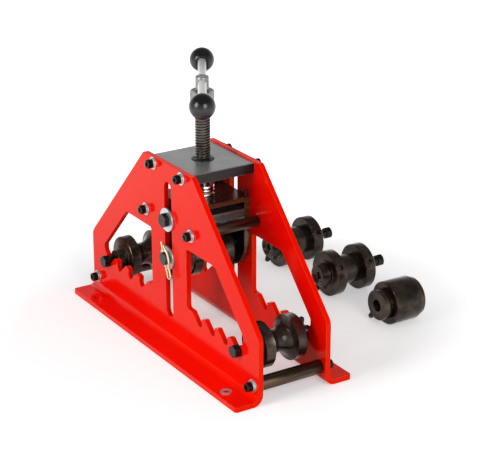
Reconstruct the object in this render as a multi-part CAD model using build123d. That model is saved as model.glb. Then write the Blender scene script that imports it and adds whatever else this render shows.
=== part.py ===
from build123d import *
import os
from math import cos, radians, sin

# Bench ring roller: two bent side plates carry two lower rolls in slanted seats, and a
# screw drives a sliding carriage with the top roll down between them.
# +X runs along the side plates, +Y across them, +Z up, millimetres.
# The origin is on the floor, at the centre of the four base holes.

# Side plates
frame_length = 475.0
plate_height = 275.0
plate_top_length = 136.0
shoulder_height = 97.0
plate_thickness = 7.5
plate_gap = 102.0
flange_reach = 36.5
bend_radius = 8.5
top_corner_radius = 7.0
shoulder_corner_radius = 17.0
flange_corner_radius = 4.0

# Centre slot, windows and slanted axle seats in each side plate
slot_width = 20.0
slot_bottom = 41.5
slot_top_wall = 26.5
window_inner_x = 49.5
window_end_wall = 38.5
window_top_wall = 110.5
window_floor = 74.0
window_margin = 34.3
window_corner_radius = 4.5
seat_pitch = 34.3
seat_end_wall = 50.3
seat_row_room = 24.0
seat_z = 63.5
seat_tilt = 43.0
seat_clearance = 0.075
tooth_rise = 8.2
tooth_lean = 1.2
tooth_radius = 2.4

# Frame fasteners
screw_diameter = 8.0
screw_length = 25.0
head_diameter = 13.0
head_height = 8.0
socket_width = 6.0
socket_depth = 4.0
lock_washer_diameter = 14.6
lock_washer_thickness = 2.0
washer_diameter = 18.6
washer_thickness = 1.6
hole_clearance = 0.5
thread_clearance = 0.05
top_screw_end_wall = 29.0
mid_rod_x = 63.5
mid_rod_drop = 86.5
base_rod_end_wall = 14.0
base_rod_z = 25.5
mid_rod_diameter = 16.0
base_rod_diameter = 20.0
tapped_depth = 20.0

# Base holes
base_hole_end_wall = 47.5
base_hole_edge_wall = 14.5
base_hole_diameter = 10.0
bench_washer_diameter = 16.5
bench_washer_bore = 8.4

# Top plate and its threaded bush
top_plate_end_gap = 12.5
top_plate_thickness = 15.0
top_plate_drop = 2.0
bush_diameter = 33.0
bush_above = 1.0
bush_below = 4.0

# Main screw, pressed hexagon, cross boss and sliding handle
thread_diameter = 22.0
running_clearance = 0.05
boss_diameter = 19.0
boss_above_carriage = 174.2
hexagon_width = 30.0
hexagon_height = 18.0
hexagon_drop = 19.9
handle_drop = 9.9
handle_diameter = 12.0
handle_length = 230.8
handle_slid_back = 4.0
handle_angle = -30.8
knob_diameter = 36.0
knob_bore_depth = 20.0
knob_flat = 19.0
knob_recess_diameter = 16.0
knob_recess_depth = 1.5
neck_diameter = 14.0
collar_diameter = 32.0
collar_thickness = 6.0
end_nut_diameter = 26.0
end_nut_gap = 0.4
ring_gap = 0.3

# Thrust bearing
bearing_diameter = 32.0
race_thickness = 3.2
ball_diameter = 4.4
ball_count = 12
ball_circle = 22.6
race_bore_clearance = 0.6
race_groove_depth = 0.7
cage_thickness = 1.8
cage_wall = 3.4

# Carriage
carriage_half_width = 44.5
cheek_gap_to_plate = 0.75
cheek_thickness = 9.0
cheek_round_above_axle = 14.5
carriage_top_gap = 38.0
carriage_plate_thickness = 7.2
thrust_bar_drop = 17.0
thrust_bar_height = 12.2
stud_diameter = 6.0
stud_end_wall = 4.5
stud_above = 10.0

# Guide bolts, bushes and washers in the centre slot
guide_bolt_drop = 27.5
guide_bolt_diameter = 12.0
guide_head_width = 19.0
guide_head_height = 7.5
guide_slide_gap = 0.3
guide_washer_diameter = 34.5
guide_washer_thickness = 3.0

# Top axle and its spring clips
top_axle_drop = 85.5
top_axle_diameter = 19.0
axle_end_chamfer = 0.8
clip_wire = 2.8
clip_tilt = 20.0
clip_hole_fit = 0.15
clip_gap = 2.6
clip_end_wall = 3.7
clip_hug_gap = 0.4
clip_leg_above = 15.0
clip_loop_below = 20.5
clip_loop_width = 8.2
clip_hug_half = 5.5
clip_neck_below = 3.5
clip_tip_above = 9.5
clip_tip_reach = 4.2

# Grooved rolls
roll_radius = 32.5
roll_half_width = 33.8
groove_half_width = 18.5
waist_radius = 16.7
rim_chamfer = 1.2
face_step_radius = 21.0
face_step_height = 1.5
hub_radius = 14.2
hub_length = 13.2
set_screw_diameter = 8.0
set_screw_tip_radius = 26.5
set_screw_angles = (80.0, 42.0)
left_roll_turn = 165.0
set_socket_width = 4.0
set_socket_depth = 4.0

# Lower axles
axle_diameter = 12.0
axle_head_width = 17.0
axle_head_length = 10.0
axle_head_gap = 0.5
axle_far_overhang = 3.5

# Spare rolls, standing on the floor: place along X and distance behind the far foot
flat_roll_places = {"a": (-160.5, 134.0), "b": (-20.5, 135.0)}
flat_collar_radius = 35.5
flat_collar_width = 18.0
flat_barrel_length = 36.0
flat_barrel_radius = 22.6
flat_hub_radius = 18.0
flat_near_hub = 15.0
flat_far_hub = 10.0
collar_fit = 0.02
collar_screw_angle = 33.0
collar_screw_sink = 1.5
flat_axle_head_gap = 15.0
flat_axle_recess = 6.0
flat_mouth_radius = 13.2
flat_mouth_inner_radius = 8.6
flat_mouth_depth = 3.6
flat_hub_screw_angle = 250.0
plain_roll_x = 113.7
plain_roll_behind = 149.4
plain_roll_radius = 32.8
plain_roll_length = 46.5
plain_shoulder_radius = 29.0
plain_shoulder_length = 9.1
plain_hub_radius = 23.2
plain_hub_length = 14.8
plain_groove_width = 3.5
plain_groove_depth = 3.0
plain_screw_angle = 231.0
spare_screw_stand = 12.0
spare_screw_backed_off = 0.5

# Derived faces shared by the pieces that meet there
inner_face = plate_gap / 2
outer_face = inner_face + plate_thickness
window_outer_x = frame_length / 2 - window_end_wall
window_top = plate_height - window_top_wall
last_seat_x = frame_length / 2 - seat_end_wall
seat_count = 1 + int((last_seat_x - window_inner_x - seat_row_room) / seat_pitch)
seat_radius = axle_diameter / 2 + seat_clearance
base_hole_x = frame_length / 2 - base_hole_end_wall
base_hole_y = outer_face + flange_reach - base_hole_edge_wall
base_rod_x = frame_length / 2 - base_rod_end_wall
mid_rod_z = plate_height - mid_rod_drop
top_screw_x = plate_top_length / 2 - top_screw_end_wall
top_plate_top = plate_height - top_plate_drop
top_plate_base = top_plate_top - top_plate_thickness
top_plate_z = top_plate_top - top_plate_thickness / 2
carriage_top = top_plate_base - carriage_top_gap
thrust_bar_top = carriage_top - thrust_bar_drop
guide_bolt_z = carriage_top - guide_bolt_drop
top_axle_z = carriage_top - top_axle_drop
cheek_round_z = top_axle_z + cheek_round_above_axle
boss_top = carriage_top + boss_above_carriage
hexagon_top = boss_top - hexagon_drop
handle_z = boss_top - handle_drop
cheek_outer = inner_face - cheek_gap_to_plate
cheek_inner = cheek_outer - cheek_thickness
cheek_top = carriage_top - carriage_plate_thickness
washer_inner = outer_face + guide_slide_gap
washer_outer = washer_inner + guide_washer_thickness
clip_y = washer_outer + clip_gap + clip_wire / 2
top_axle_half_length = clip_y + clip_end_wall
race_base = carriage_top
ball_z = race_base + race_thickness + ball_diameter / 2 - race_groove_depth
upper_race_base = ball_z + ball_diameter / 2 - race_groove_depth + ring_gap
collar_base = upper_race_base + race_thickness
collar_top = collar_base + collar_thickness
stud_x = carriage_half_width - stud_end_wall
far_foot_edge = outer_face + flange_reach


def export(name, shapes):
    """Write one sub-part, a single solid or a group of identical ones."""
    shapes = shapes if isinstance(shapes, list) else [shapes]
    part = shapes[0] if len(shapes) == 1 else Compound(children=shapes)
    part.label = name
    export_step(part, f"parts/{name}.step")


def prism_y(sketch, y0, y1):
    """Extrude a sketch drawn as (x, z) from y0 to y1."""
    plane = Plane(origin=(0, y0, 0), x_dir=(1, 0, 0), z_dir=(0, -1, 0))
    return extrude(plane * sketch, amount=-(y1 - y0))


def cylinder_y(x, z, radius, y0, y1):
    return prism_y(Pos(x, z) * Circle(radius), y0, y1)


def cylinder_z(x, y, radius, z0, z1):
    return Pos(x, y, z0) * Cylinder(radius, z1 - z0, align=(Align.CENTER, Align.CENTER, Align.MIN))


def ring_z(outer_radius, bore_radius, z0, z1):
    return cylinder_z(0, 0, outer_radius, z0, z1) - cylinder_z(0, 0, bore_radius, z0, z1)


def hexagon(width):
    """Regular hexagon sketch measured across its flats."""
    return RegularPolygon(width / 2, 6, major_radius=False)


def radial(angle, inner, outer, radius, y):
    """Cylinder that points away from the Y axis at an angle from +X towards +Z."""
    plane = Plane(origin=(0, y, 0), x_dir=(0, 1, 0), z_dir=(cos(radians(angle)), 0, sin(radians(angle))))
    return extrude(plane.offset(inner) * Circle(radius), amount=outer - inner)


# ---------------------------------------------------------------- side plates
def outline_sketch():
    """Front outline of a side plate, down to the floor."""
    half, top = frame_length / 2, plate_top_length / 2
    corners = [(-half, 0), (half, 0), (half, shoulder_height), (top, plate_height),
               (-top, plate_height), (-half, shoulder_height)]
    outline = make_face(Polyline(*corners, close=True))
    shoulders = outline.vertices().filter_by_position(Axis.Y, shoulder_height - 1, shoulder_height + 1)
    outline = fillet(shoulders, shoulder_corner_radius)
    return fillet(outline.vertices().group_by(Axis.Y)[-1], top_corner_radius)


def seat_xs():
    """Places of the seats in one window, outermost first."""
    return [last_seat_x - index * seat_pitch for index in range(seat_count)]


def window_sketch():
    """Right-hand window above its row of slanted seats."""
    half, top = frame_length / 2, plate_top_length / 2
    run, rise = half - top, plate_height - shoulder_height
    slope_length = (run ** 2 + rise ** 2) ** 0.5
    level = (rise * top + run * plate_height) / slope_length - window_margin
    top_x = (level * slope_length - run * window_top) / rise
    outer_z = (level * slope_length - rise * window_outer_x) / run
    up_slot = Vector(-cos(radians(seat_tilt)), sin(radians(seat_tilt)))
    across = Vector(sin(radians(seat_tilt)), cos(radians(seat_tilt))) * seat_radius
    points = [(window_inner_x, window_top), (top_x, window_top), (window_outer_x, outer_z),
              (window_outer_x, window_floor + window_corner_radius)]
    for x in seat_xs():
        left = Vector(x, seat_z) - across
        wall_length = (window_floor - left.Y) / up_slot.Y
        points += [(x + seat_radius - tooth_lean, seat_z + tooth_rise), (x + seat_radius, seat_z), left,
                   left + up_slot * wall_length]
    points.append((window_inner_x, window_floor))
    opening = make_face(Polyline(*points, close=True))
    corners = [v for v in opening.vertices() if v.Y > window_floor + 1 or v.X < window_inner_x + 1]
    opening = fillet(corners, window_corner_radius)
    teeth = [v for v in opening.vertices() if v.X > window_inner_x + window_corner_radius + 1
             and seat_z + seat_radius < v.Y < window_floor + tooth_radius]
    opening = fillet(teeth, tooth_radius)
    for x in seat_xs():
        opening += Pos(x, seat_z) * Circle(seat_radius)
    return opening


def slot_sketch():
    slot_top = plate_height - slot_top_wall
    height = slot_top - slot_bottom
    return Pos(0, (slot_top + slot_bottom) / 2) * Rot(0, 0, 90) * SlotOverall(height, slot_width)


def frame_screw_places():
    """(x, z) of the six screws in each side plate."""
    return [(side * x, z) for x, z in ((top_screw_x, top_plate_z), (mid_rod_x, mid_rod_z),
                                       (base_rod_x, base_rod_z)) for side in (-1, 1)]


def side_plate():
    """Far side plate: a web with a bent flange, cut with windows, slot and holes."""
    outer_bend = bend_radius + plate_thickness
    bend_y, edge = inner_face + outer_bend, outer_face + flange_reach
    web = make_face(Polyline((inner_face, outer_bend), (outer_face, outer_bend),
                             (outer_face, plate_height), (inner_face, plate_height), close=True))
    flange = make_face(Polyline((bend_y, 0), (edge, 0), (edge, plate_thickness),
                                (bend_y, plate_thickness), close=True))
    corner = Pos(bend_y, outer_bend) * (Circle(outer_bend) - Circle(bend_radius))
    quarter = Pos(bend_y, outer_bend) * Rectangle(outer_bend, outer_bend, align=(Align.MAX, Align.MAX))
    section = web + flange + (corner & quarter)
    start = Plane(origin=(-frame_length / 2, 0, 0), x_dir=(0, 1, 0), z_dir=(1, 0, 0))
    plate = extrude(start * section, amount=frame_length)
    plate &= prism_y(outline_sketch(), 0, edge)
    right = window_sketch()
    cuts = right + mirror(right, about=Plane.YZ) + slot_sketch()
    for x, z in frame_screw_places():
        cuts += Pos(x, z) * Circle(screw_diameter / 2 + hole_clearance)
    plate -= prism_y(cuts, inner_face - 1, outer_face + 1)
    for side in (-1, 1):
        plate -= cylinder_z(side * base_hole_x, base_hole_y, base_hole_diameter / 2, -1, plate_thickness + 1)
    upright = plate.edges().filter_by(Axis.Z).filter_by_position(Axis.Y, edge - 0.1, edge + 0.1)
    return fillet(upright, flange_corner_radius)


# ------------------------------------------------------------ frame fasteners
def socket_screw(diameter, length, head, height, key, key_depth):
    """Cap screw along +Y whose head sits at negative Y, bearing face at y = 0."""
    screw = cylinder_y(0, 0, head / 2, -height, 0)
    rim = screw.edges().filter_by(GeomType.CIRCLE).sort_by(Axis.Y)[0]
    screw = chamfer(rim, diameter * 0.1)
    screw -= prism_y(hexagon(key), -height, -height + key_depth)
    screw += cylinder_y(0, 0, diameter / 2, 0, length)
    tip = screw.edges().filter_by(GeomType.CIRCLE).sort_by(Axis.Y)[-1]
    return chamfer(tip, diameter * 0.1)


def both_sides(shape):
    """A piece made for the near plate and its mirror image on the far plate."""
    return [shape, mirror(shape, about=Plane.XZ)]


def frame_stack(kind):
    """All twelve screws, lock washers or flat washers of the frame."""
    shapes = []
    lock_face = outer_face + washer_thickness
    head_face = lock_face + lock_washer_thickness
    for x, z in frame_screw_places():
        if kind == "screw":
            shape = socket_screw(screw_diameter, screw_length, head_diameter, head_height,
                                 socket_width, socket_depth)
            shape = Pos(x, -head_face, z) * shape
        elif kind == "lock":
            bore = Circle(screw_diameter / 2 + thread_clearance)
            split = Pos(0, lock_washer_diameter / 2) * Rectangle(1.0, lock_washer_diameter)
            ring = Pos(x, z) * (Circle(lock_washer_diameter / 2) - bore - split)
            shape = prism_y(ring, -head_face, -lock_face)
        else:
            bore = Circle(screw_diameter / 2 + hole_clearance / 2)
            ring = Pos(x, z) * (Circle(washer_diameter / 2) - bore)
            shape = prism_y(ring, -lock_face, -outer_face)
        shapes += both_sides(shape)
    return shapes


def cross_rods(rod_x, rod_z, diameter):
    """A pair of round spacers between the plates, tapped at both ends."""
    rods = []
    for side in (-1, 1):
        rod = cylinder_y(side * rod_x, rod_z, diameter / 2, -inner_face, inner_face)
        rims = rod.edges().filter_by(GeomType.CIRCLE)
        rod = chamfer(rims, 0.8)
        for y0, y1 in ((-inner_face, -inner_face + tapped_depth), (inner_face - tapped_depth, inner_face)):
            rod -= cylinder_y(side * rod_x, rod_z, screw_diameter / 2 + thread_clearance, y0, y1)
        rods.append(rod)
    return rods


def top_plate():
    width = plate_top_length - 2 * top_plate_end_gap
    plate = Pos(0, 0, top_plate_base) * Box(width, plate_gap, top_plate_thickness, align=(
        Align.CENTER, Align.CENTER, Align.MIN))
    long_edges = plate.edges().filter_by(Axis.Y)
    plate = chamfer(long_edges, 0.8)
    plate -= cylinder_z(0, 0, bush_diameter / 2, top_plate_base, top_plate_top)
    for side in (-1, 1):
        for y0, y1 in ((-inner_face, -inner_face + tapped_depth), (inner_face - tapped_depth, inner_face)):
            bore = screw_diameter / 2 + thread_clearance
            plate -= cylinder_y(side * top_screw_x, top_plate_z, bore, y0, y1)
    return plate


def screw_bush():
    top, base = top_plate_top + bush_above, top_plate_base - bush_below
    bush = ring_z(bush_diameter / 2, thread_diameter / 2 + running_clearance, base, top)
    rims = bush.edges().filter_by(GeomType.CIRCLE).filter_by(lambda e: e.radius > thread_diameter * 0.6)
    return chamfer(rims, 0.7)


def bench_washer():
    ring = ring_z(bench_washer_diameter / 2, bench_washer_bore / 2, plate_thickness,
                  plate_thickness + washer_thickness)
    return Pos(base_hole_x, -base_hole_y, 0) * ring


# ---------------------------------------------------------- screw and handle
def main_screw():
    end_nut_base = thrust_bar_top + end_nut_gap
    screw = cylinder_z(0, 0, neck_diameter / 2, end_nut_base, collar_top)
    screw += cylinder_z(0, 0, thread_diameter / 2, collar_top, hexagon_top - hexagon_height)
    screw += cylinder_z(0, 0, boss_diameter / 2, hexagon_top - hexagon_height, boss_top)
    screw = chamfer(screw.edges().sort_by(Axis.Z)[-1], 1.2)
    bore = Pos(0, 0, handle_z) * Rot(0, 0, handle_angle) * Rot(0, 90, 0) * Cylinder(
        handle_diameter / 2 + running_clearance, 2 * boss_diameter)
    return screw - bore


def screw_hexagon():
    base = hexagon_top - hexagon_height
    turned = Rot(0, 0, handle_angle + 30) * hexagon(hexagon_width)
    blank = Pos(0, 0, base) * extrude(turned, hexagon_height)
    corner_radius = hexagon_width / 2 / cos(radians(30))
    cone = cylinder_z(0, 0, corner_radius - 0.2, base, hexagon_top)
    blank &= chamfer(cone.edges().filter_by(GeomType.CIRCLE), 1.5)
    return blank - cylinder_z(0, 0, boss_diameter / 2, base, hexagon_top)


def screw_collar():
    ring = ring_z(collar_diameter / 2, neck_diameter / 2, collar_base, collar_top)
    rims = ring.edges().filter_by(GeomType.CIRCLE).filter_by(lambda e: e.radius > neck_diameter)
    return chamfer(rims, 0.6)


def end_nut():
    base, top = thrust_bar_top + end_nut_gap, cheek_top - end_nut_gap
    return ring_z(end_nut_diameter / 2, neck_diameter / 2, base, top)


def along_handle(shape):
    """Turn a piece drawn along X into the handle's direction and height."""
    return Pos(0, 0, handle_z) * Rot(0, 0, handle_angle) * Pos(-handle_slid_back, 0, 0) * shape


def handle_rod():
    rod = Rot(0, 90, 0) * Cylinder(handle_diameter / 2, handle_length + 2 * knob_bore_end())
    return along_handle(chamfer(rod.edges().filter_by(GeomType.CIRCLE), 0.8))


def knob_flat_depth():
    """Distance from a ball's centre to the flat that the rod enters."""
    return (knob_diameter ** 2 - knob_flat ** 2) ** 0.5 / 2


def knob_bore_end():
    """How far past the ball's centre its bore, and so the rod, reaches."""
    return knob_bore_depth - knob_flat_depth()


def handle_knob(side):
    """Ball with a small flat where the rod enters."""
    ball = Sphere(knob_diameter / 2)
    ball &= Pos(-knob_flat_depth(), 0, 0) * Box(2 * knob_diameter, knob_diameter, knob_diameter, align=(
        Align.MIN, Align.CENTER, Align.CENTER))
    bore = Rot(0, 90, 0) * Cylinder(handle_diameter / 2, knob_diameter, align=(
        Align.CENTER, Align.CENTER, Align.MAX))
    ball -= Pos(knob_bore_end(), 0, 0) * bore
    recess = Rot(0, 90, 0) * Cylinder(knob_recess_diameter / 2, knob_recess_depth, align=(
        Align.CENTER, Align.CENTER, Align.MIN))
    ball -= Pos(-knob_flat_depth(), 0, 0) * recess
    knob = Pos(handle_length / 2, 0, 0) * ball
    return along_handle(knob if side > 0 else Rot(0, 0, 180) * knob)


# -------------------------------------------------------------- thrust bearing
def race(base, bore_radius, groove_z):
    ring = ring_z(bearing_diameter / 2, bore_radius, base, base + race_thickness)
    rims = ring.edges().filter_by(GeomType.CIRCLE).filter_by(lambda e: e.radius > neck_diameter)
    ring = chamfer(rims, 0.4)
    return ring - Pos(0, 0, groove_z) * Torus(ball_circle / 2, ball_diameter / 2 + 0.02)


def bearing_balls():
    return [Rot(0, 0, 360 / ball_count * index) * Pos(ball_circle / 2, 0, ball_z) * Sphere(ball_diameter / 2)
            for index in range(ball_count)]


def bearing_cage():
    outer, inner = ball_circle / 2 + cage_wall, ball_circle / 2 - cage_wall
    cage = ring_z(outer, inner, ball_z - cage_thickness / 2, ball_z + cage_thickness / 2)
    for index in range(ball_count):
        cage -= Rot(0, 0, 360 / ball_count * index) * cylinder_z(
            ball_circle / 2, 0, ball_diameter / 2 + 0.05, ball_z - cage_thickness, ball_z + cage_thickness)
    return cage


# -------------------------------------------------------------------- carriage
def cheek():
    """Far cheek of the carriage: straight sides over a full round end."""
    body = Pos(0, cheek_round_z) * Rectangle(2 * carriage_half_width, cheek_top - cheek_round_z,
                                             align=(Align.CENTER, Align.MIN))
    body += Pos(0, cheek_round_z) * Circle(carriage_half_width)
    body -= Pos(0, top_axle_z) * Circle(top_axle_diameter / 2 + running_clearance)
    body -= Pos(0, guide_bolt_z) * Circle(guide_bolt_diameter / 2 + thread_clearance)
    plate = prism_y(body, cheek_inner, cheek_outer)
    for side in (-1, 1):
        plate -= cylinder_z(side * stud_x, (cheek_inner + cheek_outer) / 2,
                            stud_diameter / 2 + thread_clearance, cheek_top - tapped_depth, cheek_top)
    return plate


def carriage_plate():
    plate = Pos(0, 0, cheek_top) * Box(2 * carriage_half_width, 2 * cheek_outer, carriage_plate_thickness,
                                       align=(Align.CENTER, Align.CENTER, Align.MIN))
    plate = chamfer(plate.edges().filter_by(Axis.Y), 0.6)
    plate -= cylinder_z(0, 0, neck_diameter / 2 + running_clearance, cheek_top, carriage_top)
    for x, y in stud_places():
        plate -= cylinder_z(x, y, stud_diameter / 2 + thread_clearance, cheek_top, carriage_top)
    return plate


def stud_places():
    middle = (cheek_inner + cheek_outer) / 2
    return [(x, y) for x in (-stud_x, stud_x) for y in (-middle, middle)]


def carriage_studs():
    """Studs that pin the carriage plate to its cheeks and stand a little above it."""
    studs = []
    for x, y in stud_places():
        stud = cylinder_z(x, y, stud_diameter / 2, cheek_top - tapped_depth, carriage_top + stud_above)
        studs.append(chamfer(stud.edges().filter_by(GeomType.CIRCLE), stud_diameter * 0.12))
    return studs


def thrust_bar():
    bar = Pos(0, 0, thrust_bar_top) * Box(2 * carriage_half_width, 2 * cheek_inner, thrust_bar_height,
                                          align=(Align.CENTER, Align.CENTER, Align.MAX))
    return chamfer(bar.edges().filter_by(Axis.Y), 0.8)


def guide_bolt():
    """Near guide bolt: hexagon head, shank through bush and cheek."""
    head = prism_y(Pos(0, guide_bolt_z) * Rot(0, 0, 30) * hexagon(guide_head_width),
                   -washer_outer - guide_head_height, -washer_outer)
    rounding = cylinder_y(0, guide_bolt_z, guide_head_width / 2 / cos(radians(30)) - 0.3,
                          -washer_outer - guide_head_height, -washer_outer)
    front = rounding.edges().filter_by(GeomType.CIRCLE).sort_by(Axis.Y)[0]
    head &= chamfer(front, 1.2)
    return head + cylinder_y(0, guide_bolt_z, guide_bolt_diameter / 2, -washer_outer, -cheek_inner)


def guide_bush():
    ring = Circle(slot_width / 2 - guide_slide_gap) - Circle(guide_bolt_diameter / 2 + thread_clearance)
    return prism_y(Pos(0, guide_bolt_z) * ring, -washer_inner, -cheek_outer)


def guide_washer(z, bore):
    ring = Circle(guide_washer_diameter / 2) - Circle(bore / 2 + thread_clearance)
    return prism_y(Pos(0, z) * ring, -washer_outer, -washer_inner)


def top_axle():
    axle = cylinder_y(0, top_axle_z, top_axle_diameter / 2, -top_axle_half_length, top_axle_half_length)
    axle = chamfer(axle.edges().filter_by(GeomType.CIRCLE), axle_end_chamfer)
    for y in (-clip_y, clip_y):
        hole = Pos(0, y, top_axle_z) * Rot(0, -clip_tilt, 0) * Cylinder(
            (clip_wire + clip_hole_fit) / 2, 2 * top_axle_diameter)
        axle -= hole
    return axle


def spring_clip():
    """Near R-clip: straight leg through the axle, looped end, leg that hugs the axle."""
    axle_radius = top_axle_diameter / 2
    hug = axle_radius + clip_wire / 2 + clip_hug_gap
    bottom = -axle_radius - clip_loop_below
    points = [(0, axle_radius + clip_leg_above), (0, bottom), (clip_loop_width, bottom),
              (clip_loop_width, -axle_radius - clip_neck_below), (hug, -clip_hug_half), (hug, clip_hug_half),
              (clip_tip_reach, axle_radius + clip_tip_above)]
    loop = clip_loop_width / 2 * 0.98
    radii = [loop, loop, hug, hug, hug]
    flat = Plane(origin=(0, -clip_y, top_axle_z), x_dir=(1, 0, 0), z_dir=(0, -1, 0))
    path = flat * FilletPolyline(*points, radius=radii)
    start = Plane(origin=path @ 0, z_dir=path % 0)
    wire = sweep(start * Circle(clip_wire / 2), path=path)
    pivot = Pos(0, 0, top_axle_z)
    return pivot * Rot(0, -clip_tilt, 0) * pivot.inverse() * wire


# ----------------------------------------------------------------------- rolls
def revolved_y(points_and_arcs):
    """Revolve a closed (radius, y) profile about the Y axis."""
    return revolve(make_face(points_and_arcs), axis=Axis.Y)


def groove_profile(bore_radius, hub_ends):
    """Round-tube groove between two rims; hub_ends lists the y of each hub face."""
    half, rim, chamfered = roll_half_width, roll_radius, rim_chamfer
    low, high = hub_ends
    right = [(bore_radius, high), (hub_radius, high), (hub_radius, half + face_step_height),
             (face_step_radius, half + face_step_height), (face_step_radius, half),
             (rim - chamfered, half), (rim, half - chamfered), (rim, groove_half_width)]
    left = [(rim, -groove_half_width), (rim, -half + chamfered), (rim - chamfered, -half),
            (face_step_radius, -half), (face_step_radius, -half - face_step_height),
            (hub_radius, -half - face_step_height), (hub_radius, low), (bore_radius, low),
            (bore_radius, high)]
    groove = ThreePointArc((rim, groove_half_width), (waist_radius, 0), (rim, -groove_half_width))
    return Polyline(*right) + groove + Polyline(*left)


def lower_roll():
    """Lower roll with one long hub at +Y, drilled for its set screws."""
    ends = (-roll_half_width - face_step_height - 0.01, roll_half_width + hub_length)
    roll = revolved_y(groove_profile(axle_diameter / 2, ends))
    for angle in set_screw_angles:
        roll -= radial(angle, axle_diameter / 2, hub_radius + 1, set_screw_diameter / 2, hub_middle())
    return roll


def hub_middle():
    return roll_half_width + face_step_height + (hub_length - face_step_height) / 2


def set_screw(angle, inner, tip, y):
    """Radial set screw with a hexagon socket in its outer end."""
    screw = radial(angle, inner, tip, set_screw_diameter / 2, y)
    direction = (cos(radians(angle)), 0, sin(radians(angle)))
    plane = Plane(origin=(0, y, 0), x_dir=(0, 1, 0), z_dir=direction)
    return screw - extrude(plane.offset(tip - set_socket_depth) * hexagon(set_socket_width), set_socket_depth)


def lower_set_screws():
    return [set_screw(angle, axle_diameter / 2, set_screw_tip_radius, hub_middle())
            for angle in set_screw_angles]


def lower_axle():
    """Axle whose hexagon end stands out of the near plate."""
    head_back = -outer_face - axle_head_gap
    head = prism_y(Rot(0, 0, 30) * hexagon(axle_head_width), head_back - axle_head_length, head_back)
    rounding = cylinder_y(0, 0, axle_head_width / 2 / cos(radians(30)) - 0.2,
                          head_back - axle_head_length, head_back)
    head &= chamfer(rounding.edges().filter_by(GeomType.CIRCLE).sort_by(Axis.Y)[0], 1.1)
    shank = cylinder_y(0, 0, axle_diameter / 2, head_back, outer_face + axle_far_overhang)
    shank = chamfer(shank.edges().filter_by(GeomType.CIRCLE).sort_by(Axis.Y)[-1], 1.0)
    return head + shank


def at_seat(side, shape):
    return Pos(side * last_seat_x, 0, seat_z) * shape


def top_roll():
    """Top roll, free on its axle, with a short hub at each end that fills the yoke."""
    reach = cheek_inner - 0.3
    roll = revolved_y(groove_profile(top_axle_diameter / 2 + running_clearance, (-reach, reach)))
    return Pos(0, 0, top_axle_z) * roll


# ----------------------------------------------------------------- spare rolls
def flat_length():
    return flat_barrel_length + 2 * flat_collar_width


def flat_place(shape, key):
    x, behind = flat_roll_places[key]
    return Pos(x, far_foot_edge + behind, flat_collar_radius) * shape


def flat_core():
    """Barrel with a hub at each end, bored for its axle."""
    length = flat_length()
    barrel = cylinder_y(0, 0, flat_barrel_radius, -face_step_height, length + face_step_height)
    barrel = chamfer(barrel.edges().filter_by(GeomType.CIRCLE), 0.6)
    hubs = cylinder_y(0, 0, flat_hub_radius, -flat_near_hub, length + flat_far_hub)
    hubs = chamfer(hubs.edges().filter_by(GeomType.CIRCLE), 2.2)
    core = barrel + hubs
    core -= cylinder_y(0, 0, axle_diameter / 2, -flat_near_hub, length + flat_far_hub)
    mouth = Rot(90, 0, 0) * Cone(flat_mouth_inner_radius, flat_mouth_radius, flat_mouth_depth, align=(
        Align.CENTER, Align.CENTER, Align.MAX))
    core -= Pos(0, -flat_near_hub, 0) * mouth
    for y in flat_hub_screw_ys():
        core -= radial(flat_hub_screw_angle, axle_diameter / 2, flat_hub_radius + 1,
                       set_screw_diameter / 2, y)
    return core


def flat_hub_screw_ys():
    return (-flat_near_hub / 2 - 0.8, flat_length() + flat_far_hub / 2 + 0.6)


def flat_collar(y):
    ring = Circle(flat_collar_radius) - Circle(flat_barrel_radius + collar_fit)
    collar = prism_y(ring, y, y + flat_collar_width)
    outer = collar.edges().filter_by(GeomType.CIRCLE).filter_by(lambda e: e.radius > flat_barrel_radius + 1)
    collar = chamfer(outer, rim_chamfer)
    middle = y + flat_collar_width / 2
    return collar - radial(collar_screw_angle, flat_barrel_radius, flat_collar_radius + 1,
                           set_screw_diameter / 2, middle)


def flat_collar_ys():
    return (0.0, flat_collar_width + flat_barrel_length)


def flat_collar_screws():
    return [set_screw(collar_screw_angle, flat_barrel_radius, flat_collar_radius - collar_screw_sink,
                      y + flat_collar_width / 2) for y in flat_collar_ys()]


def flat_axle():
    far = flat_length() + flat_far_hub + flat_axle_head_gap
    head = prism_y(Rot(0, 0, 30) * hexagon(axle_head_width), far, far + axle_head_length)
    rounding = cylinder_y(0, 0, axle_head_width / 2 / cos(radians(30)) - 0.2, far, far + axle_head_length)
    head &= chamfer(rounding.edges().filter_by(GeomType.CIRCLE), 1.0)
    return head + cylinder_y(0, 0, axle_diameter / 2, -flat_near_hub + flat_axle_recess, far)


def spare_hub_screw(angle, hub, y, inner):
    return set_screw(angle, inner + spare_screw_backed_off, hub + spare_screw_stand, y)


def plain_core():
    """Plain cylinder with a necked hub, bored for the top axle."""
    body = cylinder_y(0, 0, plain_roll_radius, 0, plain_roll_length)
    body = chamfer(body.edges().filter_by(GeomType.CIRCLE), 1.8)
    hub = cylinder_y(0, 0, plain_hub_radius, -plain_hub_length, -plain_groove_width)
    hub = chamfer(hub.edges().filter_by(GeomType.CIRCLE), 0.8)
    neck = cylinder_y(0, 0, plain_hub_radius - plain_groove_depth, -plain_hub_length, plain_groove_width)
    far_end = plain_roll_length + plain_shoulder_length
    shoulder = cylinder_y(0, 0, plain_shoulder_radius, 0, far_end)
    shoulder = chamfer(shoulder.edges().filter_by(GeomType.CIRCLE), 1.8)
    core = body + hub + neck + shoulder
    core -= cylinder_y(0, 0, top_axle_diameter / 2 + running_clearance, -plain_hub_length, far_end)
    return core - radial(plain_screw_angle, top_axle_diameter / 2, plain_hub_radius + 1,
                         set_screw_diameter / 2, plain_screw_y())


def plain_screw_y():
    return -(plain_hub_length + plain_groove_width) / 2


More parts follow.
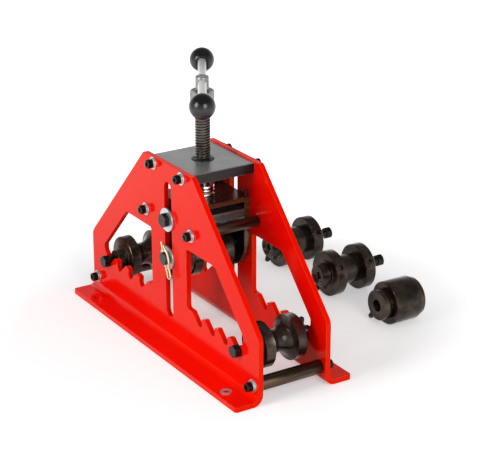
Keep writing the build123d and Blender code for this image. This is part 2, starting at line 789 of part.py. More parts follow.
def plain_place(shape):
    return Pos(plain_roll_x, far_foot_edge + plain_roll_behind, plain_roll_radius) * shape


# ----------------------------------------------------------------------- build
def build_frame():
    far = side_plate()
    export("far_side_plate", far)
    export("near_side_plate", mirror(far, about=Plane.XZ))
    export("top_plate", top_plate())
    export("screw_bush", screw_bush())
    export("middle_cross_rods", cross_rods(mid_rod_x, mid_rod_z, mid_rod_diameter))
    export("base_cross_rods", cross_rods(base_rod_x, base_rod_z, base_rod_diameter))
    export("frame_screws", frame_stack("screw"))
    export("frame_lock_washers", frame_stack("lock"))
    export("frame_washers", frame_stack("flat"))
    export("bench_washer", bench_washer())


def build_screw_and_handle():
    export("main_screw", main_screw())
    export("screw_hexagon", screw_hexagon())
    export("screw_collar", screw_collar())
    export("screw_end_nut", end_nut())
    export("bearing_upper_race", race(upper_race_base, neck_diameter / 2, ball_z + ring_gap))
    export("handle_rod", handle_rod())
    export("front_knob", handle_knob(1))
    export("rear_knob", handle_knob(-1))


def build_carriage():
    far = cheek()
    export("far_cheek", far)
    export("near_cheek", mirror(far, about=Plane.XZ))
    export("carriage_plate", carriage_plate())
    export("carriage_studs", carriage_studs())
    export("thrust_bar", thrust_bar())
    export("bearing_lower_race", race(race_base, neck_diameter / 2 + race_bore_clearance, ball_z))
    export("bearing_balls", bearing_balls())
    export("bearing_cage", bearing_cage())
    export("guide_bolts", both_sides(guide_bolt()))
    export("guide_bushes", both_sides(guide_bush()))
    export("guide_bolt_washers", both_sides(guide_washer(guide_bolt_z, guide_bolt_diameter)))
    export("axle_washers", both_sides(guide_washer(top_axle_z, top_axle_diameter)))
    export("top_axle", top_axle())
    clip = spring_clip()
    export("near_spring_clip", clip)
    export("far_spring_clip", mirror(clip, about=Plane.XZ))
    export("top_roll", top_roll())


def build_lower_rolls():
    turned = Rot(0, left_roll_turn, 0) * Rot(0, 0, 180)
    export("right_roll", at_seat(1, lower_roll()))
    export("right_set_screws", [at_seat(1, s) for s in lower_set_screws()])
    export("right_axle", at_seat(1, lower_axle()))
    export("left_roll", at_seat(-1, turned * lower_roll()))
    export("left_set_screws", [at_seat(-1, turned * s) for s in lower_set_screws()])
    export("left_axle", at_seat(-1, lower_axle()))


def build_spare_rolls():
    for key in flat_roll_places:
        export(f"flat_roll_{key}_core", flat_place(flat_core(), key))
        export(f"flat_roll_{key}_collars", [flat_place(flat_collar(y), key) for y in flat_collar_ys()])
        export(f"flat_roll_{key}_collar_screws", [flat_place(s, key) for s in flat_collar_screws()])
        export(f"flat_roll_{key}_axle", flat_place(flat_axle(), key))
        hub_screws = [spare_hub_screw(flat_hub_screw_angle, flat_hub_radius, y, axle_diameter / 2)
                      for y in flat_hub_screw_ys()]
        export(f"flat_roll_{key}_hub_screws", [flat_place(s, key) for s in hub_screws])
    export("plain_roll_core", plain_place(plain_core()))
    screw = spare_hub_screw(plain_screw_angle, plain_hub_radius, plain_screw_y(), top_axle_diameter / 2)
    export("plain_roll_set_screw", plain_place(screw))


if __name__ == "__main__":
    os.makedirs("parts", exist_ok=True)
    build_frame()
    build_screw_and_handle()
    build_carriage()
    build_lower_rolls()
    build_spare_rolls()
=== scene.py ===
from math import cos, pi, radians, sin, sqrt

import bmesh
import bpy
from mathutils import Matrix, Vector


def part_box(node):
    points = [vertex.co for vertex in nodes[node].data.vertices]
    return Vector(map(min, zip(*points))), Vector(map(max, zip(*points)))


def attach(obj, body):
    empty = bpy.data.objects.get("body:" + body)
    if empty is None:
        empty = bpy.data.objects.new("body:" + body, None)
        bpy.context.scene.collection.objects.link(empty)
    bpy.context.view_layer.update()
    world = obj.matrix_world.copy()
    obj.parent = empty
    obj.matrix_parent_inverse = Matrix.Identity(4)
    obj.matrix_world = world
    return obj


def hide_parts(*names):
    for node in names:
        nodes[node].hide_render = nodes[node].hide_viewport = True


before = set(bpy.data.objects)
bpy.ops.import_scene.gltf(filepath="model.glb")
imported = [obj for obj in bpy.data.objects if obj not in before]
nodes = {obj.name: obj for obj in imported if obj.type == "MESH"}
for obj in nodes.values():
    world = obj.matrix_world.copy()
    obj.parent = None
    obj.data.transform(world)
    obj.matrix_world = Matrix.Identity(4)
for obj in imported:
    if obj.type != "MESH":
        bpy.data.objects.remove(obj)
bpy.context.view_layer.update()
MM = 0.001
MERGE = 0.0008 * MM  # distance at which a new mesh's points become one
WELD = 0.002 * MM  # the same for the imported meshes


# ------------------------------------------------------------------ node helpers
def add_node(tree, kind, inputs=None, **settings):
    """Adds a shader node: an input given as a socket is linked, and any other is set."""
    made = tree.nodes.new("ShaderNode" + kind)
    for key, value in settings.items():
        setattr(made, key, value)
    for key, value in (inputs or {}).items():
        if isinstance(value, bpy.types.NodeSocket):
            tree.links.new(value, made.inputs[key])
        else:
            made.inputs[key].default_value = value
    return made


class Shader:
    """A material's node tree, with short calls for the nodes used again and again."""

    def __init__(self, name):
        self.material = bpy.data.materials.new(name)
        self.material.use_nodes = True
        self.tree = self.material.node_tree
        self.surface = self.tree.nodes["Principled BSDF"]
        self.place = self.tree.nodes.new("ShaderNodeTexCoord").outputs["Object"]

    def node(self, kind, inputs=None, **settings):
        return add_node(self.tree, kind, inputs, **settings)

    def link(self, output, input_name):
        self.tree.links.new(output, self.surface.inputs[input_name])

    def set(self, **values):
        for key, value in values.items():
            self.surface.inputs[key.replace("_", " ")].default_value = value

    def noise(self, scale, detail, roughness=0.5, vector=None):
        inputs = {"Vector": vector or self.place, "Scale": scale, "Detail": detail, "Roughness": roughness}
        return self.node("TexNoise", inputs).outputs["Fac"]

    def stretched(self, scale):
        return self.node("Mapping", {"Vector": self.place, "Scale": scale}).outputs["Vector"]

    def spread(self, value, low, high, to_low=0.0, to_high=1.0):
        return self.node("MapRange", {"Value": value, "From Min": low, "From Max": high, "To Min": to_low,
                                      "To Max": to_high}, clamp=True).outputs["Result"]

    def math(self, operation, a, b=0.0):
        return self.node("Math", {0: a, 1: b}, operation=operation).outputs[0]

    def blend(self, factor, a, b):
        """Colour a where factor is 0 and colour b where it is 1."""
        return self.node("Mix", {0: factor, 6: a, 7: b}, data_type="RGBA").outputs[2]

    def edges(self, radius):
        """1 along the object's edges within radius, 0 on its flats."""
        rounded = self.node("Bevel", {"Radius": radius}, samples=6).outputs["Normal"]
        flat = self.node("NewGeometry").outputs["Normal"]
        cosine = self.node("VectorMath", {0: rounded, 1: flat}, operation="DOT_PRODUCT").outputs["Value"]
        return self.spread(cosine, 0.88, 0.995, 1.0, 0.0)

    def facing(self, axis):
        """How squarely a face looks along one of the object's axes, either way."""
        normal = self.node("SeparateXYZ", {0: self.node("TexCoord").outputs["Normal"]}).outputs[axis]
        return self.math("ABSOLUTE", normal)

    def bump(self, *layers):
        """Stacks (height, strength, distance in mm) layers into the surface's normal."""
        normal = None
        for height, strength, distance in layers:
            inputs = {"Height": height, "Strength": strength, "Distance": distance * MM}
            if normal is not None:
                inputs["Normal"] = normal
            normal = self.node("Bump", inputs).outputs["Normal"]
        self.link(normal, "Normal")


def rgb(r, g, b):
    return (r, g, b, 1.0)


# --------------------------------------------------------------------- materials
def red_enamel(name="red_enamel", edge=(0.86, 0.045, 0.004)):
    """Thick glossy red powder coat with orange peel; its edges take a lighter, more orange colour, partly a
    thinner coat and partly a painted highlight.
    """
    s = Shader(name)
    cloudy = s.spread(s.noise(7, 2), 0.35, 0.65)
    body = s.blend(cloudy, rgb(0.88, 0.0022, 0.0002), rgb(0.93, 0.0045, 0.0004))
    # painted highlight: along the edges the colour turns lighter and more orange, partly worn thin coat,
    # partly a painted sheen
    wear = s.math("MULTIPLY", s.edges(1.4 * MM), s.spread(s.noise(90, 4), 0.30, 0.62, 0.35, 1.0))
    s.link(s.blend(wear, body, rgb(*edge)), "Base Color")
    s.link(s.spread(s.noise(35, 4), 0.3, 0.7, 0.11, 0.18), "Roughness")
    s.bump((s.noise(420, 2), 0.06, 0.12), (s.noise(60, 2), 0.05, 0.3))
    s.set(IOR=1.22, Specular_Tint=rgb(1.0, 0.95, 0.05))
    return s.material


def satin_black():
    """Blackened plate: the faces that look up and down painted grey in smears as a painted sheen, its sawn
    ends near black, with faint mill streaks.
    """
    s = Shader("top_plate_black")
    streaks = s.noise(1, 5, 0.6, s.stretched((60, 900, 60)))
    smears = s.spread(s.noise(22, 5, 0.6), 0.38, 0.66)
    # painted sheen: faces that look up or down get a light grey, while the sawn ends keep the plate's
    # near-black colour
    painted_sheen_faces = s.blend(smears, rgb(0.30, 0.30, 0.31), rgb(0.46, 0.46, 0.46))
    ends = s.blend(smears, rgb(0.008, 0.008, 0.008), rgb(0.024, 0.022, 0.020))
    body = s.blend(s.spread(s.facing("Z"), 0.5, 0.9), ends, painted_sheen_faces)
    wear = s.math("MULTIPLY", s.edges(0.9 * MM), s.spread(s.noise(160, 4), 0.38, 0.62))
    s.link(s.blend(wear, body, rgb(0.42, 0.41, 0.40)), "Base Color")
    s.link(s.spread(s.math("ADD", smears, streaks), 0.3, 1.5, 0.26, 0.40), "Roughness")
    s.bump((streaks, 0.10, 0.05), (s.noise(300, 4), 0.10, 0.05))
    s.set(IOR=1.6, Metallic=0.75)
    return s.material


def oxide_steel(name, dark, warm, rough=(0.26, 0.46), wear_color=(0.26, 0.22, 0.19), lathe=None, grain=None):
    """Oil-blacked steel in two tones, rubbed pale on its edges.

    lathe is the (x, z) of a turning axis along Y; grain stretches the patches along one axis.
    """
    s = Shader(name)
    place = s.stretched(grain) if grain else s.place
    patches = s.spread(s.noise(38, 5, 0.62, place), 0.36, 0.66)
    specks = s.spread(s.noise(700, 3), 0.60, 0.72)
    body = s.blend(patches, rgb(*dark), rgb(*warm))
    body = s.blend(s.math("MULTIPLY", specks, 0.35), body, rgb(*(v * 2.4 for v in warm)))
    wear = s.math("MULTIPLY", s.edges(0.8 * MM), s.spread(s.noise(130, 4), 0.40, 0.66))
    s.link(s.blend(wear, body, rgb(*wear_color)), "Base Color")
    s.link(s.spread(s.noise(55, 5, 0.5, place), 0.3, 0.7, *rough), "Roughness")
    s.set(Metallic=0.75)
    layers = [(s.noise(520, 4, 0.5, place), 0.12, 0.05)]
    if lathe:
        layers.append((turning_marks(s, *lathe), 0.22, 0.05))
    s.bump(*layers)
    return s.material


def turning_marks(s, x, z):
    """Fine rings about a lathe axis that runs along Y through (x, z)."""
    parts = s.node("SeparateXYZ", {0: s.place})
    dx = s.math("SUBTRACT", parts.outputs["X"], x)
    dz = s.math("SUBTRACT", parts.outputs["Z"], z)
    radius = s.math("SQRT", s.math("ADD", s.math("MULTIPLY", dx, dx), s.math("MULTIPLY", dz, dz)))
    along = s.node("CombineXYZ", {"X": radius, "Y": parts.outputs["Y"]}).outputs[0]
    return s.noise(1900, 2, 0.7, along)


def carriage_steel():
    """Sawn and blacked flat bar: nearly black faces, rust brown where the saw cut its ends."""
    s = Shader("carriage_steel")
    patches = s.spread(s.noise(30, 5, 0.65), 0.36, 0.66)
    face = s.blend(patches, rgb(0.0022, 0.0018, 0.0016), rgb(0.011, 0.007, 0.005))
    sawn = s.blend(s.spread(s.noise(1, 5, 0.6, s.stretched((40, 25, 300))), 0.35, 0.65),
                   rgb(0.038, 0.012, 0.003), rgb(0.118, 0.040, 0.010))
    body = s.blend(s.spread(s.facing("X"), 0.55, 0.8), face, sawn)
    wear = s.math("MULTIPLY", s.edges(0.8 * MM), s.spread(s.noise(130, 4), 0.40, 0.66))
    s.link(s.blend(wear, body, rgb(0.24, 0.16, 0.10)), "Base Color")
    s.link(s.spread(s.noise(55, 5), 0.3, 0.7, 0.12, 0.34), "Roughness")
    s.set(IOR=1.48, Metallic=0.05)
    s.bump((s.noise(1, 4, 0.6, s.stretched((60, 40, 700))), 0.10, 0.06), (s.noise(520, 4), 0.10, 0.05))
    return s.material


def bright_steel(name, tone, rough, streak=(1, 1, 1)):
    """Machined steel with directional tool marks and a few dull spots."""
    s = Shader(name)
    marks = s.noise(420, 4, 0.6, s.stretched(streak))
    dull = s.spread(s.noise(60, 4), 0.35, 0.7)
    body = s.blend(dull, rgb(tone, tone, tone * 1.01), rgb(tone * 0.78, tone * 0.77, tone * 0.74))
    grime = s.math("MULTIPLY", s.spread(s.noise(240, 5), 0.55, 0.75), 0.5)
    s.link(s.blend(grime, body, rgb(0.16, 0.14, 0.12)), "Base Color")
    s.link(s.spread(marks, 0.3, 0.7, *rough), "Roughness")
    s.set(Metallic=1.0)
    s.bump((marks, 0.15, 0.03))
    return s.material


def plated(name, tone, rough=(0.28, 0.44)):
    """Zinc plating: fine crystalline mottling, slightly dulled in patches."""
    s = Shader(name)
    mottle = s.node("TexVoronoi", {"Vector": s.place, "Scale": 900.0}).outputs["Distance"]
    patches = s.spread(s.noise(120, 4), 0.35, 0.7)
    body = s.blend(patches, rgb(*tone), rgb(*(v * 0.80 for v in tone)))
    s.link(body, "Base Color")
    s.link(s.spread(s.math("ADD", mottle, patches), 0.2, 1.5, *rough), "Roughness")
    s.set(Metallic=0.85)
    s.bump((mottle, 0.08, 0.03), (s.noise(500, 3), 0.08, 0.03))
    return s.material


def polished_black():
    """Moulded phenolic ball: deep black, nearly mirror smooth, with faint swirls."""
    s = Shader("polished_black")
    haze = s.spread(s.noise(60, 4), 0.35, 0.75)
    s.link(s.blend(haze, rgb(0.0012, 0.0012, 0.0014), rgb(0.004, 0.004, 0.0044)), "Base Color")
    s.link(s.spread(s.noise(150, 5, 0.7), 0.35, 0.75, 0.17, 0.25), "Roughness")
    s.set(IOR=1.50)
    s.bump((s.noise(260, 3), 0.03, 0.05))
    return s.material


def satin_rod():
    """Bright zinc-plated bar, satin smooth, with hair-fine marks."""
    s = Shader("satin_rod")
    marks = s.noise(900, 4, 0.6)
    dull = s.spread(s.noise(45, 4), 0.4, 0.7)
    s.link(s.blend(dull, rgb(0.92, 0.94, 0.92), rgb(0.83, 0.86, 0.84)), "Base Color")
    s.link(s.spread(marks, 0.3, 0.7, 0.38, 0.50), "Roughness")
    s.set(Metallic=0.45)
    s.bump((marks, 0.05, 0.02))
    return s.material


# -------------------------------------------------------------------- mesh tools
KNURL_STEPS = 72


def knurled_ring(radius, angle):
    """Straight knurl: small teeth round a screw's head, one for every two steps."""
    return radius * (1.0 if round(angle / (2 * pi) * KNURL_STEPS) % 2 else 0.962)


def hexagon_ring(radius, angle):
    """Hexagon whose flats lie at the radius."""
    return radius / cos((angle + pi / 6) % (pi / 3) - pi / 6)


def turned(bm, rings, place, segments=96):
    """Skins a stack of rings about local Z; each ring is (radius, height) in mm and may name its outline."""
    rows = []
    for radius, height, *outline in rings:
        row = []
        for index in range(segments):
            angle = 2 * pi * index / segments
            r = outline[0](radius, angle) if outline else radius
            row.append(bm.verts.new(place @ Vector((r * cos(angle), r * sin(angle), height))))
        rows.append(row)
    for low, high in zip(rows, rows[1:]):
        for index in range(segments):
            after = (index + 1) % segments
            bm.faces.new((low[index], low[after], high[after], high[index]))


def softened(profile, radius, steps=3):
    """A closed (radius, height) loop with every corner rounded by a small curve."""
    points = []
    for index, corner in enumerate(profile):
        here = Vector(corner)
        ends = []
        for other in (profile[index - 1], profile[(index + 1) % len(profile)]):
            edge = Vector(other) - here
            reach = min(radius, 0.4 * edge.length)
            ends.append(here + edge.normalized() * reach)
        for step in range(steps + 1):
            t = step / steps
            points.append(tuple(ends[0] * (1 - t) ** 2 + here * (2 * t * (1 - t)) + ends[1] * t ** 2))
    return points


def helix_ridge(bm, core, crest, half_foot, half_crest, pitch, start, end, place, segments, fade=0.6):
    """Screw thread's ridge, wound right-handed about local Z, that runs out at both ends (mm)."""
    count = int((end - start - 2 * half_foot) / pitch * segments)
    rows = []
    for step in range(count + 1):
        angle = 2 * pi * step / segments
        height = start + half_foot + pitch * step / segments
        grown = min(1.0, step / (fade * segments), (count - step) / (fade * segments))
        top = core + (crest - core) * max(grown, 0.03)
        soft = 0.25 * (top - core)
        shoulder = half_crest + 0.3 * soft
        section = ((core - 0.1, -half_foot), (top - soft, -shoulder), (top, -half_crest * 0.75),
                   (top, half_crest * 0.75), (top - soft, shoulder), (core - 0.1, half_foot))
        rows.append([bm.verts.new(place @ Vector((r * cos(angle), r * sin(angle), height + dz)))
                     for r, dz in section])
    for low, high in zip(rows, rows[1:]):
        for index in range(len(low)):
            after = (index + 1) % len(low)
            bm.faces.new((low[index], low[after], high[after], high[index]))
    bm.faces.new(rows[0])
    bm.faces.new(rows[-1])


def lathe_along_y(x, z):
    """Matrix that lays a piece turned about local Z along +Y through (x, z), from mm to metres."""
    return Matrix.Translation((x, 0, z)) @ Matrix.Rotation(-pi / 2, 4, "X") @ Matrix.Scale(MM, 4)


def upright():
    return Matrix.Scale(MM, 4)


def new_piece(name, bm, material, body, slot, *replaced, crisp=34.0):
    """Makes a finished piece of a mesh: clean, facing outwards, smooth but for its crisp edges."""
    bmesh.ops.remove_doubles(bm, verts=bm.verts, dist=MERGE)
    bmesh.ops.recalc_face_normals(bm, faces=bm.faces)
    mesh = bpy.data.meshes.new(name)
    bm.to_mesh(mesh)
    bm.free()
    mesh.polygons.foreach_set("use_smooth", [True] * len(mesh.polygons))
    mesh.set_sharp_from_angle(angle=radians(crisp))
    mesh.materials.append(material)
    piece = bpy.data.objects.new(name, mesh)
    bpy.context.scene.collection.objects.link(piece)
    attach(piece, body)
    if replaced:
        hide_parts(*replaced)
    return piece


def islands(name):
    """The separate solids of a CAD node, each as a list of its points."""
    bm = bmesh.new()
    bm.from_mesh(nodes[name].data)
    bmesh.ops.remove_doubles(bm, verts=bm.verts, dist=WELD)
    found, seen = [], set()
    for start in bm.verts:
        if start in seen:
            continue
        seen.add(start)
        points, queue = [], [start]
        while queue:
            vert = queue.pop()
            points.append(vert.co.copy())
            for edge in vert.link_edges:
                other = edge.other_vert(vert)
                if other not in seen:
                    seen.add(other)
                    queue.append(other)
        found.append(points)
    bm.free()
    return found


def spans(points):
    """Lowest and highest corner of some points."""
    low = Vector(min(p[axis] for p in points) for axis in range(3))
    high = Vector(max(p[axis] for p in points) for axis in range(3))
    return low, high


# ------------------------------------------------------------------- new pieces
def cap_screws(material):
    """Socket head screws with knurled heads, one for each in the frame."""
    bm = bmesh.new()
    for points in islands("frame_screws"):
        low, high = spans(points)
        middle = (low + high) / 2
        near = middle.y < 0
        head_top = low.y if near else high.y
        tip = high.y if near else low.y
        length = abs(tip - head_top) / MM
        outward = Matrix.Rotation(pi / 2 if near else -pi / 2, 4, "X")
        own_turn = radians(17) + middle.x * 9
        place = Matrix.Translation((middle.x, head_top, middle.z)) @ outward @ Matrix.Scale(MM, 4)
        place = place @ Matrix.Rotation(own_turn, 4, "Z")
        socket, head, head_height, shank = 3.0, 6.5, 8.0, 4.0
        rings = [(0, -3.6), (socket * 0.55, -4.0), (socket, -3.7, hexagon_ring),
                 (socket, -0.45, hexagon_ring), (socket * 1.22, 0), (head - 1.0, 0), (head - 0.35, -0.35),
                 (head - 0.05, -1.1), (head, -1.3, knurled_ring), (head, 0.6 - head_height, knurled_ring),
                 (head - 0.15, 0.3 - head_height), (head - 0.5, -head_height), (shank, -head_height),
                 (shank, -length + 0.8), (shank - 0.8, -length), (0, -length)]
        turned(bm, rings, place, KNURL_STEPS)
    new_piece("knurled_frame_screws", bm, material, "frame", "black_oxide", "frame_screws")


def set_screws(name, axis, material, body):
    """Threaded set screws with hexagon sockets, in place of a node's plain ones."""
    bm = bmesh.new()
    radius, socket, pitch = 4.0, 2.0, 1.25
    for points in islands(name):
        low, high = spans(points)
        middle = (low + high) / 2
        outward = Vector((middle.x - axis[0], 0, middle.z - axis[1])).normalized()
        origin = Vector((axis[0], middle.y, axis[1]))
        reach = [(p - origin).dot(outward) for p in points]
        tip, length = max(reach), (max(reach) - min(reach)) / MM
        turn = outward.to_track_quat("Z", "Y").to_matrix().to_4x4()
        place = Matrix.Translation(origin + outward * tip) @ turn @ Matrix.Scale(MM, 4)
        core = radius - 0.62
        rings = [(0, -3.4), (socket * 0.5, -3.9), (socket, -3.6, hexagon_ring),
                 (socket, -0.35, hexagon_ring), (socket * 1.25, 0), (core - 0.35, 0), (core, -0.4),
                 (core, -length + 0.6), (core - 0.6, -length), (0, -length)]
        turned(bm, rings, place, 48)
        half_foot, half_crest = 0.56, 0.12
        helix_ridge(bm, core, radius, half_foot, half_crest, pitch, -length + 0.3, -0.1, place, 32, 0.4)
    new_piece(f"threaded_{name}", bm, material, body, "black_oxide", name, crisp=50.0)


def main_screw(material, boss_material):
    """Trapezoidal screw of 4 mm pitch, with its plain neck and the cross-drilled boss."""
    low, high = (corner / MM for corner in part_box("main_screw"))
    collar_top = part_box("screw_collar")[1].z / MM
    hexagon_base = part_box("screw_hexagon")[0].z / MM
    hexagon_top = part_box("screw_hexagon")[1].z / MM
    top = high.z
    boss = max(v.co.x for v in nodes["main_screw"].data.vertices if v.co.z / MM > hexagon_top) / MM
    neck, crest, pitch, tooth = 7.0, high.x, 4.0, 2.3
    core = crest - tooth
    bm = bmesh.new()
    rings = [(0, low.z), (neck - 0.8, low.z), (neck, low.z + 0.8), (neck, collar_top),
             (core, collar_top + 0.3), (core, hexagon_base), (boss, hexagon_base), (boss, hexagon_top),
             (boss - 0.25, hexagon_top + 0.2), (boss - 0.25, hexagon_top + 0.5), (boss, hexagon_top + 0.7),
             (boss, top - 1.4), (boss - 0.35, top - 0.5), (boss - 1.2, top), (boss - 5.0, top),
             (boss - 5.4, top - 0.25), (0, top - 0.25)]
    turned(bm, rings, upright())
    drill_cross_hole(bm)
    half_foot, half_crest = 1.33, 0.73
    start, end = collar_top + 0.4, hexagon_base + 0.6
    helix_ridge(bm, core, crest, half_foot, half_crest, pitch, start, end, upright(), 56)
    piece = new_piece("threaded_main_screw", bm, material, "screw", "bright_steel", "main_screw", crisp=30.0)
    piece.data.materials.append(boss_material)
    for face in piece.data.polygons:
        if face.center.z / MM > hexagon_base + 1.0:
            face.material_index = 1


def drill_cross_hole(bm):
    """Takes the handle rod's hole out of the boss, by an exact boolean on a scratch pair."""
    rod = nodes["handle_rod"].data
    low, high = spans([v.co for v in rod.vertices])
    middle = (low + high) / 2
    along = Vector((high.x - low.x, -(high.y - low.y), 0)).normalized()
    turn = along.to_track_quat("Z", "Y").to_matrix().to_4x4()
    cutter_mesh = bmesh.new()
    reach, hole = 40.0, (high.z - low.z) / 2 / MM + 0.1
    turned(cutter_mesh, [(0, -reach), (hole, -reach), (hole, reach), (0, reach)],
           Matrix.Translation(middle) @ turn @ Matrix.Scale(MM, 4), 64)
    scratch = []
    for name, source in (("scratch_boss", bm), ("scratch_drill", cutter_mesh)):
        bmesh.ops.remove_doubles(source, verts=source.verts, dist=MERGE)
        bmesh.ops.recalc_face_normals(source, faces=source.faces)
        mesh = bpy.data.meshes.new(name)
        source.to_mesh(mesh)
        made = bpy.data.objects.new(name, mesh)
        bpy.context.scene.collection.objects.link(made)
        scratch.append(made)
    cut = scratch[0].modifiers.new("drill", "BOOLEAN")
    cut.operation = "DIFFERENCE"
    cut.solver = "EXACT"
    cut.object = scratch[1]
    result = scratch[0].evaluated_get(bpy.context.evaluated_depsgraph_get()).to_mesh()
    bm.clear()
    bm.from_mesh(result)
    scratch[0].to_mesh_clear()
    cutter_mesh.free()
    for made in scratch:
        bpy.data.objects.remove(made)


def screw_bush(material):
    """Threaded bush: a raised flat face inside a narrow dark ring cut where it was pressed in."""
    low, high = (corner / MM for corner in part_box("screw_bush"))
    outer, ring, fit = high.x, 0.9, 0.05
    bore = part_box("main_screw")[1].x / MM + fit
    bm = bmesh.new()
    profile = [(bore, low.z), (outer - 0.7, low.z), (outer, low.z + 0.7), (outer, high.z - 3.0),
               (outer - ring, high.z - 3.0), (outer - ring, high.z - 0.5), (outer - ring - 0.5, high.z),
               (bore + 1.6, high.z), (bore, high.z - 1.4)]
    loop = softened(profile, 0.18, 2)
    turned(bm, loop + loop[:1], upright())
    new_piece("grooved_screw_bush", bm, material, "frame", "black_oxide", "screw_bush")


def grooved_roll(name, body, material, hub_low, hub_high, bore):
    """Round-tube roll: two softened rims beside a round groove; its hubs end at the given y (mm)."""
    x, z = lathe_axis(name)
    low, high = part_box(name)
    rim = (high.x - low.x) / 2 / MM
    half, groove_half, waist, chamfer = 33.8, 18.5, 16.7, 1.2
    step_radius, hub = 21.0, 14.2
    step_face = half + 1.5
    sagitta = rim - waist
    arc = (sagitta ** 2 + groove_half ** 2) / (2 * sagitta)
    steps = 28
    groove = []
    for index in range(steps + 1):
        y = groove_half * cos(pi * index / steps)
        groove.append((waist + arc - sqrt(arc ** 2 - y ** 2), y))
    right = [(hub, hub_high), (hub, step_face), (step_radius, step_face), (step_radius, half),
             (rim - chamfer, half), (rim, half - chamfer)]
    left = [(rim, -half + chamfer), (rim - chamfer, -half), (step_radius, -half), (step_radius, -step_face),
            (hub, -step_face), (hub, hub_low)]
    outside = softened([(bore, hub_low), (bore, hub_high)] + right + left, 0.45)
    split = next(i for i, (r, y) in enumerate(outside) if r > rim - 0.01 and y < 0)
    loop = outside[:split] + [(rim - 0.25, groove_half + 0.5)] + groove + [(rim - 0.25, -groove_half - 0.5)]
    loop += outside[split:]
    bm = bmesh.new()
    turned(bm, loop + loop[:1], lathe_along_y(x, z), 144)
    new_piece(f"turned_{name}", bm, material, body, "black_oxide", name)


# ----------------------------------------------------------------- dressing nodes
def dress(names, material, bevel):
    """Gives CAD nodes a material and, where bevel (mm) isn't 0, soft edges."""
    for name in names:
        node = nodes[name]
        node.data.materials.clear()
        node.data.materials.append(material)
        weld = node.modifiers.new("weld", "WELD")
        weld.merge_threshold = WELD
        if bevel:
            rounding = node.modifiers.new("soft_edges", "BEVEL")
            rounding.width = bevel * MM
            rounding.segments = 2
            rounding.limit_method = "ANGLE"
            rounding.angle_limit = radians(35.0)


def dress_frame():
    dress(["near_side_plate"], red_enamel(), 0.8)
    # The far plate is a lit copy of the same enamel: its lighter, more orange edge colour is a painted
    # highlight.
    dress(["far_side_plate"], red_enamel("red_enamel_far_lit_edges", (0.90, 0.085, 0.012)), 0.8)
    dress(["top_plate"], satin_black(), 0.4)
    dark, warm, lengthwise = (0.014, 0.009, 0.006), (0.110, 0.066, 0.038), (3, 0.18, 3)
    rods = oxide_steel("rod_oxide", dark, warm, (0.22, 0.44), grain=lengthwise)
    dress(["middle_cross_rods", "base_cross_rods"], rods, 0)
    fasteners = oxide_steel("fastener_oxide", (0.008, 0.0075, 0.0075), (0.026, 0.023, 0.021), (0.20, 0.36))
    cap_screws(fasteners)
    dress(["carriage_studs", "guide_bolts"], fasteners, 0.25)
    zinc = plated("zinc_plate", (0.58, 0.65, 0.66))
    washers = [f"{kind}_washers" for kind in ("frame", "frame_lock", "guide_bolt", "axle")]
    dress(washers + ["bench_washer"], zinc, 0.15)


def dress_carriage():
    dress(["near_cheek", "far_cheek", "carriage_plate"], carriage_steel(), 0.3)
    dress(["thrust_bar"], bright_steel("thrust_bar_steel", 0.42, (0.28, 0.44), (60, 1, 1)), 0.2)
    bearing = bright_steel("bearing_steel", 0.88, (0.08, 0.18))
    races = ["bearing_upper_race", "bearing_lower_race"]
    dress(races + ["screw_collar", "bearing_balls", "guide_bushes"], bearing, 0)
    dress(["bearing_cage"], plated("cage_brass", (0.70, 0.55, 0.28)), 0)
    dress(["top_axle"], oxide_steel("axle_oxide", (0.040, 0.038, 0.036), (0.10, 0.095, 0.088)), 0)
    yellow = plated("clip_yellow", (0.74, 0.60, 0.34), (0.20, 0.34))
    dress(["near_spring_clip", "far_spring_clip"], yellow, 0)


def dress_screw():
    grey, pale, worn = (0.16, 0.16, 0.155), (0.34, 0.335, 0.325), (0.55, 0.54, 0.52)
    nut = oxide_steel("nut_oxide", grey, pale, (0.26, 0.42), worn)
    dress(["screw_hexagon", "screw_end_nut"], nut, 0.2)
    screw_bush(oxide_steel("bush_oxide", (0.020, 0.019, 0.018), (0.070, 0.066, 0.060), (0.26, 0.44)))
    dark, warm, worn = (0.022, 0.020, 0.018), (0.085, 0.074, 0.062), (0.30, 0.28, 0.25)
    main_screw(oxide_steel("screw_oxide", dark, warm, (0.13, 0.26), worn), nut)
    dress(["handle_rod"], satin_rod(), 0)
    dress(["front_knob", "rear_knob"], polished_black(), 0.3)


def lathe_axis(name):
    low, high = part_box(name)
    return (low.x + high.x) / 2, (low.z + high.z) / 2


def dress_rolls():
    dark, warm = (0.016, 0.0135, 0.0115), (0.088, 0.062, 0.044)
    rough = (0.15, 0.32)
    small = oxide_steel("small_oxide", (0.010, 0.0095, 0.009), (0.034, 0.030, 0.027), (0.20, 0.38))
    for name in ("top_roll", "left_roll", "right_roll", "plain_roll_core"):
        turned_oxide = oxide_steel(f"{name}_oxide", dark, warm, rough, lathe=lathe_axis(name))
        if name == "plain_roll_core":
            dress([name], turned_oxide, 0.3)
            continue
        low, high = (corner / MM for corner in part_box(name))
        bore = 9.55 if name == "top_roll" else 6.0  # free on its axle, or pinned to it
        grooved_roll(name, name, turned_oxide, low.y, high.y, bore)
    for side in ("left", "right"):
        set_screws(f"{side}_set_screws", lathe_axis(f"{side}_roll"), small, f"{side}_roll")
        dress([f"{side}_axle"], small, 0.2)
    set_screws("plain_roll_set_screw", lathe_axis("plain_roll_core"), small, "plain_roll")
    for key in "ab":
        axis = lathe_axis(f"flat_roll_{key}_collars")
        turned_oxide = oxide_steel(f"flat_roll_{key}_oxide", dark, warm, rough, lathe=axis)
        dress([f"flat_roll_{key}_{piece}" for piece in ("core", "collars")], turned_oxide, 0.3)
        dress([f"flat_roll_{key}_axle"], small, 0.2)
        for piece in ("hub_screws", "collar_screws"):
            set_screws(f"flat_roll_{key}_{piece}", axis, small, f"flat_roll_{key}")


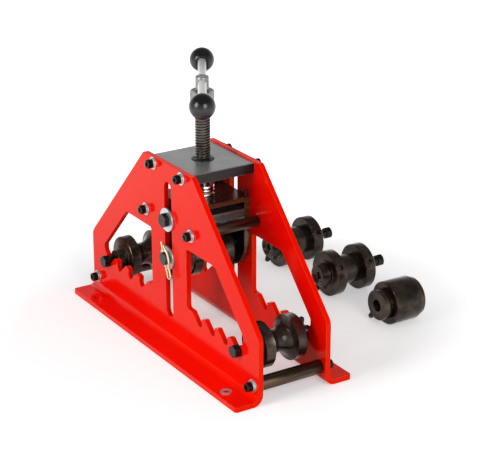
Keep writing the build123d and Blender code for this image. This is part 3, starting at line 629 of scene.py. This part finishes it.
# ------------------------------------------------------------------------- studio
def soft_box(name, direction, power):
    """Soft box that faces the object's middle from a direction."""
    target, distance = Vector((0, 0.02, 0.18)), 2.2
    data = bpy.data.lights.new(name, "AREA")
    data.shape = "RECTANGLE"
    data.size, data.size_y = 0.9, 1.1
    data.energy = power
    lamp = bpy.data.objects.new(name, data)
    bpy.context.scene.collection.objects.link(lamp)
    lamp.location = target + Vector(direction).normalized() * distance
    lamp.rotation_euler = (target - lamp.location).to_track_quat("-Z", "Y").to_euler()


def studio():
    """Two soft boxes in a room that mirrors as white walls under a dim ceiling."""
    soft_box("front_left_box", (0.07, -0.90, 0.43), 25)
    soft_box("right_box", (0.91, -0.10, 0.37), 19)
    world = bpy.data.worlds.new("studio")
    bpy.context.scene.world = world
    world.use_nodes = True
    tree = world.node_tree
    room_light, wall, ceiling = 0.36, 1.0, 0.25
    path = add_node(tree, "LightPath").outputs
    sky = add_node(tree, "TexCoord").outputs["Generated"]
    height = add_node(tree, "SeparateXYZ", {0: sky}).outputs["Z"]
    mirrored = add_node(tree, "MapRange", {"Value": height, "From Min": 0.12, "From Max": 0.60,
                                           "To Min": wall, "To Max": ceiling}).outputs["Result"]
    bounced = add_node(tree, "Math", {0: path["Is Glossy Ray"], 1: path["Is Transmission Ray"]},
                       operation="MAXIMUM").outputs[0]
    indirect = add_node(tree, "Mix", {0: bounced, 2: room_light, 3: mirrored}).outputs[0]
    seen = add_node(tree, "Mix", {0: path["Is Camera Ray"], 2: indirect, 3: 1.0}).outputs[0]
    background = tree.nodes["Background"]
    background.inputs["Color"].default_value = rgb(1, 1, 1)
    tree.links.new(seen, background.inputs["Strength"])


def floor():
    """Pale floor that keeps the object's soft shadow and grows white away from it."""
    mesh = bpy.data.meshes.new("studio_floor")
    reach, near_glow, far_glow = 12.0, 0.38, 1.0
    mesh.from_pydata([(-reach, -reach, 0), (reach, -reach, 0), (reach, reach, 0), (-reach, reach, 0)], [],
                     [(0, 1, 2, 3)])
    plane = bpy.data.objects.new("studio_floor", mesh)
    plane.location.z = -0.0003
    bpy.context.scene.collection.objects.link(plane)
    s = Shader("floor_white")
    s.set(Base_Color=rgb(0.80, 0.80, 0.80), Roughness=0.9, Specular_IOR_Level=0.0)
    path = s.node("LightPath")
    seen = s.math("MAXIMUM", path.outputs["Is Camera Ray"], path.outputs["Is Glossy Ray"])
    seen = s.math("MAXIMUM", seen, path.outputs["Is Transmission Ray"])
    away = s.node("VectorMath", {0: s.place}, operation="LENGTH").outputs["Value"]
    strength = s.spread(away, 0.28, 0.75, near_glow, far_glow)
    glow = s.node("Emission", {"Strength": s.math("MULTIPLY", seen, strength)})
    both = s.node("AddShader", {0: s.surface.outputs[0], 1: glow.outputs[0]})
    output = s.tree.nodes["Material Output"]
    s.tree.links.new(both.outputs[0], output.inputs["Surface"])
    mesh.materials.append(s.material)


def camera():
    """Camera at the photograph's viewing angle, fitted to its frame."""
    tilt_down, turn = 21.357, 57.509
    data = bpy.data.cameras.new("photo_view")
    data.lens = 118.87
    data.sensor_width = 36.0
    view = bpy.data.objects.new("photo_view", data)
    view.location = (1.9008, -1.1315, 1.0364)
    view.rotation_euler = (radians(90 - tilt_down), 0, radians(turn))
    bpy.context.scene.collection.objects.link(view)
    bpy.context.scene.camera = view


dress_frame()
dress_carriage()
dress_screw()
dress_rolls()
studio()
floor()
camera()
bpy.context.scene.view_settings.view_transform = "Standard"
